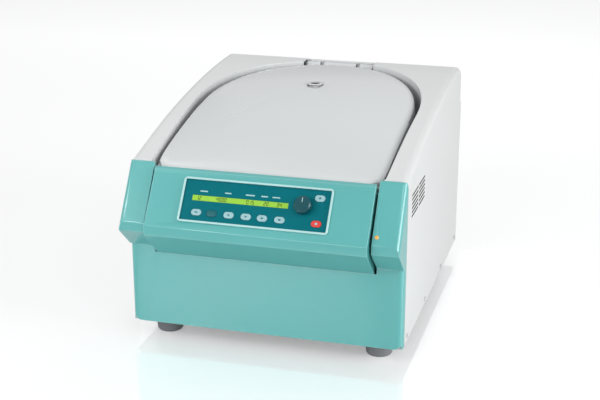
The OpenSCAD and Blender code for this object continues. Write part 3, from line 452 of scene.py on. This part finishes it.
# %% Give every CAD node its finish
FINISHES = {
    white_paint: ["case_shell", "rear_panel", "deck_plate"],
    lid_paint: ["lid_cover", "window_ring"],
    teal_moulding: ["front_panel", "console"],
    aqua_moulding: ["keypad_frame"],
    petrol_foil: ["keypad_plate"],
    pale_key: ["key_1", "key_3", "key_4", "key_5", "key_6", "start_key"],
    dark_key: ["key_2"],
    red_key: ["stop_key"],
    knob_moulding: ["setting_knob"],
    display_glow: ["display_window"],
    board_lacquer: ["control_board", "power_board"],
    amber_lens: ["pilot_lamp"],
    black_moulding: ["release_bush", "latch_units", "mains_inlet", "switch_frame", "mains_rocker"],
    seal_rubber: ["bowl_seal", "motor_dampers"],
    foot_rubber: ["feet"],
    stainless: ["rotor_bowl", "lid_plate"],
    zinc_steel: ["base_pan", "motor_plate", "hinge_arms", "hinge_brackets", "hinge_pins", "hinge_springs",
                 "rear_crossbar", "lid_strikers", "left_bolt", "right_bolt", "drive_shaft", "case_screws",
                 "guard_ring"],
    satin_aluminium: ["rotor_yoke", "rotor_nut", "left_carrier", "right_carrier", "heat_sink"],
    motor_paint: ["drive_motor"],
    port_disc: ["lid_window"],
}


def coat(piece, material):
    piece.data.materials.clear()
    piece.data.materials.append(material)


for material, nodes in FINISHES.items():
    for node in nodes:
        coat(frame["nodes"][node], material)
print(sum(len(nodes) for nodes in FINISHES.values()), "nodes of", len(frame["nodes"]), "have a finish")

# %% [markdown]
# ## Rolled edges on the CAD shapes
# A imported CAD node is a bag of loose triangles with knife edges. Sheet metal and mouldings have small radii
# that catch the light, so the pieces seen from outside get a merged copy: doubles are welded, flat triangles
# dissolve into whole faces, and a Bevel modifier rolls the hard edges. The copy then replaces its node.


# %% Merged and rolled copies
BODY_OF = {node: body for body, nodes in frame["record"]["behaviour"]["bodies"].items() for node in nodes}
JOINTS = {joint["name"]: joint for joint in frame["joints"]}
WELD = 0.00002


def merged_copy(node, name, flat=0.5):
    """A welded copy of a CAD node, free to be shaped."""
    pick(frame["nodes"][node])
    bpy.ops.object.duplicate()
    piece = added(name)
    del piece["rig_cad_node"]
    edit(piece)
    bpy.ops.mesh.select_all(action="SELECT")
    bpy.ops.mesh.remove_doubles(threshold=WELD)
    bpy.ops.mesh.dissolve_limited(angle_limit=math.radians(flat))
    leave_edit()
    return piece


def stand_for(piece, node):
    """Lets a finished piece ride where its CAD node rides, in that node's place."""
    coat(piece, frame["nodes"][node].data.materials[0])
    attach(piece, BODY_OF[node])
    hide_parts(node)


def weigh_normals(piece):
    """Keeps large flat faces flat in the shading: they outweigh the narrow faces of a rounding."""
    apply_modifier(piece, "WEIGHTED_NORMAL", keep_sharp=True, weight=80)


def roll_edges(piece, width, segments, degrees=30):
    """Rounds the edges that turn by more than the angle, to a width in millimetres."""
    apply_modifier(piece, "BEVEL", width=width * MM, segments=segments, limit_method="ANGLE",
                   angle_limit=math.radians(degrees), use_clamp_overlap=True)
    smooth(piece, 40)
    weigh_normals(piece)


# The width of the rolled edges in millimetres
ROLLED = {
    "pilot_lamp": 0.7, "release_bush": 0.25, "bowl_seal": 1.2, "hinge_brackets": 0.4, "lid_strikers": 0.3,
    "rear_crossbar": 0.8, "motor_plate": 0.5, "drive_shaft": 0.4, "left_bolt": 0.5, "right_bolt": 0.5,
    "keypad_frame": 0.9, "setting_knob": 0.3, "window_ring": 0.4, "feet": 1.2, "mains_inlet": 0.5,
    "switch_frame": 0.5, "mains_rocker": 0.6, "rotor_yoke": 0.8, "left_carrier": 0.5, "right_carrier": 0.5,
    "rotor_nut": 0.6, "hinge_arms": 0.7, "latch_units": 0.8, "drive_motor": 0.8, "heat_sink": 0.4,
}
for node, width in ROLLED.items():
    piece = merged_copy(node, node + "_finished")
    roll_edges(piece, width, 2)
    stand_for(piece, node)
print(len(ROLLED), "nodes have rolled edges")

# %% [markdown]
# ## Case and lid
# The case is one folded and welded sheet. Its top was lofted in CAD in short steps, so here the steps are
# welded and shaded smooth up to 25 degrees, which leaves the lid's opening and the louvres crisp. Weighted
# normals keep its flat sides flat. The inner walls of the louvres are black, painted shade that makes the
# slots read dark. The lid is a pressed cover whose rim is rolled: smoothing the points along the rim widens
# that roll.

# %% Case shell
LOUVRES_X = 0.2752
LOUVRES_Y = (-0.236, -0.084)
LOUVRES_Z = (0.28, 0.345)


def is_louvre_wall(face):
    """Whether a face lies among the louvres and looks along the case's side, not out of it."""
    x, y, z = face.center
    among = abs(x) > LOUVRES_X and LOUVRES_Y[0] < y < LOUVRES_Y[1] and LOUVRES_Z[0] < z < LOUVRES_Z[1]
    return among and abs(face.normal.x) < 0.5


case = merged_copy("case_shell", "case_shell_pressed")
smooth(case, 25)
weigh_normals(case)
stand_for(case, "case_shell")
# The louvres' inner walls take the black finish: painted shade, so the slots read as dark strokes.
case.data.materials.append(black_moulding)
louvre_walls = [face for face in case.data.polygons if is_louvre_wall(face)]
for face in louvre_walls:
    face.material_index = 1
print("case", len(case.data.polygons), "faces,", len(louvre_walls), "of them dark walls of louvres")

# %% Lid cover
RIM_LEAN = (0.08, 0.985)
RIM_LOWEST = 0.35


def is_on_rim(vertex):
    """Whether a point lies on the turn from the lid's side to its top."""
    return RIM_LEAN[0] < vertex.normal.z < RIM_LEAN[1] and vertex.co.z > RIM_LOWEST


lid = merged_copy("lid_cover", "lid_cover_pressed", flat=0.1)
edit(lid)
rim_points = select_parts(lid, "VERT", is_on_rim)
bpy.ops.mesh.vertices_smooth(factor=0.5, repeat=3)
leave_edit()
smooth(lid, 45)
stand_for(lid, "lid_cover")
print("lid", len(lid.data.polygons), "faces,", rim_points, "points on its rim")

# %% [markdown]
# ## The dark gap round the lid
# Between lid and case runs a gap that reads dark with shade. A grey strip on the lid's edge paints that shade
# into it. The strip is the lid's own wall, copied, lifted off a little and given a thickness, so it follows
# every curve. It leaves the place free where the lid's arms turn.

# %% Painted shade strip on the lid's edge
STRIP_LIFT = 0.3 * MM
STRIP_THICKNESS = 0.5 * MM
STRIP_HIGHEST = 0.45
ARMS_Y, ARMS_X = 0.2, 0.085
LID_LOW, LID_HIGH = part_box("lid_cover")
LID_MIDDLE = (LID_LOW + LID_HIGH) / 2


def is_lid_side(face):
    """Whether a face is upright, looks outwards and is clear of the arms."""
    centre, normal = face.calc_center_median(), face.normal
    away = centre - LID_MIDDLE
    outwards = normal.x * away.x + normal.y * away.y > 0.01
    at_arms = centre.y > ARMS_Y and abs(centre.x) < ARMS_X
    return abs(normal.z) < 0.2 and outwards and centre.z < STRIP_HIGHEST and not at_arms


edit(lid)
strip_faces = select_parts(lid, "FACE", is_lid_side)
bpy.ops.mesh.duplicate()
bpy.ops.mesh.separate(type="SELECTED")
leave_edit()
strip = [piece for piece in bpy.context.selected_objects if piece is not lid][0]
strip.name = "lid_gap_shade_strip"
strip.data.name = "lid_gap_shade_strip"
edit(strip)
bpy.ops.mesh.select_all(action="SELECT")
bpy.ops.transform.shrink_fatten(value=STRIP_LIFT)
leave_edit()
apply_modifier(strip, "SOLIDIFY", thickness=STRIP_THICKNESS, offset=1)
coat(strip, gap_shade_grey)
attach(strip, "lid")
print(strip.name, "from", strip_faces, "faces")

# %% [markdown]
# ## Front mouldings
# The console and the cheeks are thick foamed mouldings with generous radii, which show as bright lines
# along the chin. The ends of the console and the upright corners of the cheeks are rounded most. After that
# every other hard edge of the two welded copies gets a smaller roll.

# %% Console and cheeks
CONSOLE_END = {"x": 0.2185, "y": -0.3, "shortest": 0.025, "turn": 0.6}
PANEL_CORNER = {"x": 0.27, "y": -0.275, "shortest": 0.05, "turn": 0.9}
END_ROUNDING, CORNER_ROUNDING = 5, 8
CONSOLE_ROLL, PANEL_ROLL = 2.2, 1.8


def is_console_end(edge):
    """Whether an edge is a long hard one round the left or right end of the console."""
    first, second = (vertex.co for vertex in edge.verts)
    far_out = min(abs(first.x), abs(second.x)) > CONSOLE_END["x"] and first.x * second.x > 0
    in_front = ((first + second) / 2).y < CONSOLE_END["y"]
    hard = edge.calc_length() > CONSOLE_END["shortest"] and edge.calc_face_angle(0) > CONSOLE_END["turn"]
    return far_out and in_front and hard


def is_panel_corner(edge):
    """Whether an edge is one of the upright front corners of the cheeks."""
    first, second = (vertex.co for vertex in edge.verts)
    upright = abs(first.z - second.z) > PANEL_CORNER["shortest"] and abs(first.x - second.x) < 0.001
    at_corner = abs(first.x) > PANEL_CORNER["x"] and first.y < PANEL_CORNER["y"]
    return upright and at_corner and edge.calc_face_angle(0) > PANEL_CORNER["turn"]


def round_edges(piece, wanted, width, segments):
    """Bevels the wanted edges alone, to a width in millimetres."""
    edit(piece)
    count = select_parts(piece, "EDGE", wanted)
    bpy.ops.mesh.bevel(offset=width * MM, segments=segments, affect="EDGES", clamp_overlap=True)
    leave_edit()
    return count


console = merged_copy("console", "console_moulding")
ends = round_edges(console, is_console_end, END_ROUNDING, 5)
roll_edges(console, CONSOLE_ROLL, 4, 32)
stand_for(console, "console")
panel = merged_copy("front_panel", "front_moulding")
corners = round_edges(panel, is_panel_corner, CORNER_ROUNDING, 6)
roll_edges(panel, PANEL_ROLL, 4, 32)
stand_for(panel, "front_panel")
print("rounded", ends, "edges of the console's ends and", corners, "corners of the cheeks")
print("console", len(console.data.polygons), "front", len(panel.data.polygons), "faces")

# %% [markdown]
# ## Hinge cover
# The lid's arms turn in a well behind its rear edge. A cover in three lengths closes the well: each is a
# cylinder about the hinge axis, cut open below and given a wall, so it turns with the lid in its own track
# and passes between the hinge brackets.

# %% Cover in three lengths
HINGE_PLACE = Vector(JOINTS["lid_hinge"]["pos_m"])
COVER_R = 13.2 * MM
COVER_WALL = 1.8 * MM
COVER_LENGTHS = {"left": (-78, -46), "middle": (-38, 38), "right": (46, 78)}
CUT_PLACE, CUT_NORMAL = (0, 0, -0.004), (0, 0.35, 1)
for label, (left, right) in COVER_LENGTHS.items():
    bpy.ops.object.select_all(action="DESELECT")
    bpy.ops.mesh.primitive_cylinder_add(vertices=72, radius=COVER_R, depth=(right - left) * MM,
                                        end_fill_type="NOTHING", rotation=(0, math.pi / 2, 0))
    cover = added("hinge_cover_" + label)
    settle(cover)
    edit(cover)
    bpy.ops.mesh.select_all(action="SELECT")
    bpy.ops.mesh.bisect(plane_co=CUT_PLACE, plane_no=CUT_NORMAL, clear_inner=True)
    leave_edit()
    apply_modifier(cover, "SOLIDIFY", thickness=COVER_WALL, offset=-1)
    settle(cover, Matrix.Translation(HINGE_PLACE + Vector(((left + right) / 2 * MM, 0, 0))))
    roll_edges(cover, 0.4, 2)
    coat(cover, lid_paint)
    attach(cover, "lid")
print("hinge cover in", len(COVER_LENGTHS), "lengths, radius", round(COVER_R / MM, 1), "mm")

# %% [markdown]
# ## Springs of the lid
# Two torsion springs balance the lid. A round wire is swept round the hinge axis by a Screw modifier, which
# gives real windings in place of the CAD's sleeves.

# %% Wind the springs
WIRE_R = 1.3 * MM
WIRE_SIDES = 10
COIL_R = 6.6 * MM
COIL_FILL = 0.92
STEPS_PER_TURN = 22
SPRING_INNER = min(abs(vertex.co.x) for vertex in frame["nodes"]["hinge_springs"].data.vertices)
SPRING_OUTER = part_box("hinge_springs")[1].x
SPRING_L = SPRING_OUTER - SPRING_INNER
TURNS = int(SPRING_L / (2 * WIRE_R) * COIL_FILL)
STARTS = {"coil_left": -SPRING_OUTER + WIRE_R, "coil_right": SPRING_INNER + WIRE_R}
springs = []
for name, start in STARTS.items():
    bpy.ops.object.select_all(action="DESELECT")
    bpy.ops.mesh.primitive_circle_add(vertices=WIRE_SIDES, radius=WIRE_R, location=(0, COIL_R, 0))
    spring = added(name)
    settle(spring)
    apply_modifier(spring, "SCREW", axis="X", angle=math.tau * TURNS, screw_offset=SPRING_L - 2 * WIRE_R,
                   steps=STEPS_PER_TURN * TURNS)
    edit(spring)
    bpy.ops.mesh.select_all(action="DESELECT")
    bpy.ops.mesh.select_non_manifold()
    bpy.ops.mesh.edge_face_add()
    bpy.ops.mesh.select_all(action="SELECT")
    bpy.ops.mesh.normals_make_consistent(inside=False)
    leave_edit()
    settle(spring, Matrix.Translation((start, HINGE_PLACE.y, HINGE_PLACE.z)))
    springs.append(spring)
pick(*springs)
bpy.ops.object.join()
coils = added("torsion_springs")
smooth(coils, 60)
stand_for(coils, "hinge_springs")
print("springs with", TURNS, "turns each,", len(coils.data.polygons), "faces")

# %% [markdown]
# ## The keypad
# All small pieces of the panel are placed in the panel's own plane: X to the right, Y up the slope and Z out
# of it. The press axis of the keys gives the slope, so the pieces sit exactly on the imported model.

# %% The panel's plane
OUT = -Vector(JOINTS["key_1_press"]["axis"])
SIDE = Vector((1, 0, 0))
UP = OUT.cross(SIDE)
FACE_ORIGIN = Vector((0, -0.352, 0.267))
# The digits and the label bars lie a little below the plane
PRINT_Z = -0.35


def face_matrix(x, y, z=0.0):
    """Places a piece on the panel, all in millimetres."""
    place = FACE_ORIGIN + (SIDE * x + UP * y + OUT * z) * MM
    turn = Matrix((SIDE, UP, OUT)).transposed().to_4x4()
    return Matrix.Translation(place) @ turn


print("panel leans", round(math.degrees(math.asin(OUT.z)), 1), "degrees")

# %% Keys
# Where each key sits on the panel, and the sizes of a key, all in millimetres
KEYS = {"key_1": (-119, 35), "key_2": (-88, 35), "key_3": (-54, 35), "key_4": (-20, 35), "key_5": (12, 35),
        "key_6": (46, 35), "start_key": (117, 84), "stop_key": (117, 34)}
KEY_L, KEY_W = 20, 12.6
KEY_RIM = 0.4
KEY_FOOT = -7
KEY_SIDES = 42
KEY_DOME = ((0.45, 0.35), (0.8, 0.25), (1.3, 0.12))


def make_key(name):
    """An oval key: a cylinder pulled apart at its middle, its top stepped in and up to a soft dome."""
    bpy.ops.object.select_all(action="DESELECT")
    bpy.ops.mesh.primitive_cylinder_add(vertices=KEY_SIDES, radius=KEY_W / 2 * MM,
                                        depth=(KEY_RIM - KEY_FOOT) * MM,
                                        location=(0, 0, (KEY_RIM + KEY_FOOT) / 2 * MM))
    key = added(name)
    settle(key)
    edit(key)
    mesh = bmesh.from_edit_mesh(key.data)
    for vertex in mesh.verts:
        vertex.co.x += math.copysign((KEY_L - KEY_W) / 2 * MM, vertex.co.x)
    select_parts(key, "FACE", looks_up)
    inset_steps(*KEY_DOME)
    leave_edit()
    smooth(key, 50)
    return key


for node, (x, y) in KEYS.items():
    key = make_key(node + "_cap")
    settle(key, face_matrix(x, y))
    stand_for(key, node)
print(len(KEYS), "keys")

# %% Marks on the keys
# Each mark is a thin pad in a plain shape: its corners, its radius in millimetres, how far it is stretched
# along and up the slope, and how far it is turned in degrees
MARKS = {
    "key_1": (4, 2.1, 2.3, 0.75, 45), "key_3": (3, 2.3, 1.5, 1.0, 90), "key_4": (3, 2.3, 1.5, 1.0, -90),
    "key_5": (4, 2.2, 1.5, 1.0, 0), "key_6": (20, 1.9, 1.6, 1.0, 0), "start_key": (3, 2.7, 1.3, 1.1, 0),
    "stop_key": (4, 2.8, 1.2, 1.0, 45),
}
MARK_THICKNESS = 0.3
MARK_SINK = 0.1
KEY_TOP = KEY_RIM + sum(rise for inwards, rise in KEY_DOME)
for node, (corners, radius, along, upward, turn) in MARKS.items():
    bpy.ops.object.select_all(action="DESELECT")
    bpy.ops.mesh.primitive_cylinder_add(vertices=corners, radius=radius * MM, depth=MARK_THICKNESS * MM,
                                        rotation=(0, 0, math.radians(turn)))
    mark = added(node + "_mark")
    settle(mark)
    edit(mark)
    resize_all((along, upward, 1))
    select_parts(mark, "FACE", looks_up)
    inset_steps((0.12, 0.05))
    leave_edit()
    settle(mark, face_matrix(*KEYS[node], KEY_TOP - MARK_SINK))
    coat(mark, print_ink if node == "stop_key" else legend_ink)
    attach(mark, BODY_OF[node])
print(len(MARKS), "marks")

# %% Digits in the display
# Which segments a digit shows, where each lies in it and how it is turned, and where each reading starts
SEGMENTS = {"0": "abcdef", "1": "bc", "2": "abged", "3": "abgcd", "4": "fgbc", "5": "afgcd"}
SEGMENT_PLACES = {"a": (0, 0.5, 0), "g": (0, 0, 0), "d": (0, -0.5, 0), "b": (0.5, 0.25, 90),
                  "c": (0.5, -0.25, 90), "e": (-0.5, -0.25, 90), "f": (-0.5, 0.25, 90)}
READINGS = {-122: "12", -82: "4000", -22: "015", 12: "20", 38: "34"}
DISPLAY_Y = 64
DIGIT_W, DIGIT_H, DIGIT_PITCH = 3.4, 7.0, 5.4
SEGMENT_R, SEGMENT_SLIMMING = 1.65, 0.42
PRINT_THICKNESS = 0.2
bpy.ops.object.select_all(action="DESELECT")
bpy.ops.mesh.primitive_cylinder_add(vertices=6, radius=SEGMENT_R * MM, depth=PRINT_THICKNESS * MM)
segment = added("display_digits")
edit(segment)
resize_all((1, SEGMENT_SLIMMING, 1))
select_parts(segment, "FACE", looks_up)
inset_steps((0.08, 0.03))
leave_edit()
segments = []
for first, reading in READINGS.items():
    for number, figure in enumerate(reading):
        for letter in SEGMENTS[figure]:
            across, up, turn = SEGMENT_PLACES[letter]
            pick(segment)
            bpy.ops.object.duplicate()
            copy = bpy.context.object
            x = first + number * DIGIT_PITCH + across * DIGIT_W
            y = DISPLAY_Y + up * DIGIT_H
            settle(copy, face_matrix(x, y, PRINT_Z) @ Matrix.Rotation(math.radians(turn), 4, "Z"))
            segments.append(copy)
pick(segment)
bpy.ops.object.delete()
pick(*segments)
bpy.ops.object.join()
digits = added("display_digits")
coat(digits, digit_ink)
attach(digits, BODY_OF["display_window"])
print(len(segments), "segments")

# %% Bare label bars above the display
# The middle of each bar and its length
LABELS = {-111: 15, -62.6: 13, -18.7: 18, 9.6: 13, 32.6: 15}
LABEL_Y, LABEL_H = 78, 2.6
for number, (x, length) in enumerate(LABELS.items(), 1):
    label = start_block("label_bar_" + str(number), (length * MM, LABEL_H * MM, PRINT_THICKNESS * MM))
    select_parts(label, "FACE", looks_up)
    inset_steps((0.15, 0.05))
    leave_edit()
    settle(label, face_matrix(x, LABEL_Y, PRINT_Z))
    coat(label, print_ink)
    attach(label, BODY_OF["keypad_plate"])
print(len(LABELS), "label bars")

# %% Pointer of the setting knob
KNOB_X, KNOB_Y = 87.5, 74
POINTER_SIZE = (1.4 * MM, 9 * MM, 1.1 * MM)
POINTER_SINK = 0.5
knob_high = max(vertex.co.dot(OUT) for vertex in frame["nodes"]["setting_knob"].data.vertices)
KNOB_TOP = (knob_high - FACE_ORIGIN.dot(OUT)) / MM
pointer = start_block("knob_pointer", POINTER_SIZE)
bpy.ops.mesh.bevel(offset=0.3 * MM, segments=2, affect="EDGES")
leave_edit()
settle(pointer, face_matrix(KNOB_X, KNOB_Y, KNOB_TOP - POINTER_SINK))
coat(pointer, aqua_moulding)
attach(pointer, "knob")
print("knob top", round(KNOB_TOP, 1), "mm above the panel")

# %% [markdown]
# ## Small fittings of the case
# The screw heads get a rolled rim and a socket, cut into the discs of the welded copy. Behind the louvres
# sits a dark plate with a grid of shallow pockets: painted shade, which is why the slots read as dark
# strokes.

# %% Screw heads
HEADS_X = 0.2782
SOCKET_STEPS = ((1.0, 0), (0.7, -0.15), (0.35, -0.9))


def is_screw_head(face):
    """Whether a face is the outer disc of a screw in the case's side."""
    return abs(face.normal.x) > 0.9 and abs(face.calc_center_median().x) > HEADS_X


screws = merged_copy("case_screws", "case_screws_finished")
edit(screws)
heads = select_parts(screws, "FACE", is_screw_head)
inset_steps(*SOCKET_STEPS)
leave_edit()
roll_edges(screws, 0.35, 2, 50)
stand_for(screws, "case_screws")
print(heads, "screw heads")

# %% Painted shade plates behind the louvres
SCREEN_X, SCREEN_Y, SCREEN_Z = 0.2741, -0.161, 0.309
SCREEN_SIZE = (0.0014, 0.156, 0.068)
POCKETS = 12
POCKET_RIM, POCKET_DEPTH = 0.6 * MM, 0.5 * MM
# Each plate is black: painted shade behind the slots.
for side, label in ((-1, "left"), (1, "right")):
    screen = start_block("louvre_shade_plate_" + label, SCREEN_SIZE)
    bpy.ops.mesh.subdivide(number_cuts=POCKETS - 1)
    select_parts(screen, "FACE", lambda face: face.normal.x * side > 0.9)
    bpy.ops.mesh.inset(thickness=POCKET_RIM, depth=-POCKET_DEPTH, use_individual=True)
    leave_edit()
    settle(screen, Matrix.Translation((side * SCREEN_X, SCREEN_Y, SCREEN_Z)))
    coat(screen, black_moulding)
    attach(screen, "housing")
print("two louvre shade plates")

# %% [markdown]
# ## Floor
# The studio table is a pale sheet with a faint mirror image of the machine. It is a stage, not a part. It
# glows a little, more towards the back, so that it fades into the white behind. The glow is for the camera
# alone, so it throws no light on the machine.

# %% Lay the floor
FLOOR_SIZE = 60
NEAR_Y, FAR_Y = -0.8, 2.5
NEAR_GLOW, FAR_GLOW = 0.3, 0.75
bpy.ops.object.select_all(action="DESELECT")
bpy.ops.mesh.primitive_plane_add(size=FLOOR_SIZE)
floor = added("studio_floor")
floor_sheet = make_finish("floor_sheet", (0.86, 0.865, 0.87), (0.86, 0.865, 0.87), 0.16, 0.000001, 60, 0.6,
                          0.005, 0.03)
set_sockets(floor_sheet, {"Emission Color": (1, 1, 1, 1), "Coat Weight": 1, "Coat Roughness": 0.05,
                          "Coat IOR": 2.2})
tree = floor_sheet.node_tree
place = tree.nodes.new("ShaderNodeTexCoord")
parts = tree.nodes.new("ShaderNodeSeparateXYZ")
depth = add_range(tree, NEAR_Y, FAR_Y, NEAR_GLOW, FAR_GLOW)
path = tree.nodes.new("ShaderNodeLightPath")
seen = add_math(tree, "MULTIPLY")
wire(tree, [
    (place.outputs["Object"], parts.inputs["Vector"]),
    (parts.outputs["Y"], depth.inputs["Value"]),
    (depth.outputs["Result"], seen.inputs[0]),
    (path.outputs["Is Camera Ray"], seen.inputs[1]),
    (seen.outputs["Value"], tree.nodes["Principled BSDF"].inputs["Emission Strength"]),
])
coat(floor, floor_sheet)
print("floor", floor.dimensions.x, "m wide")
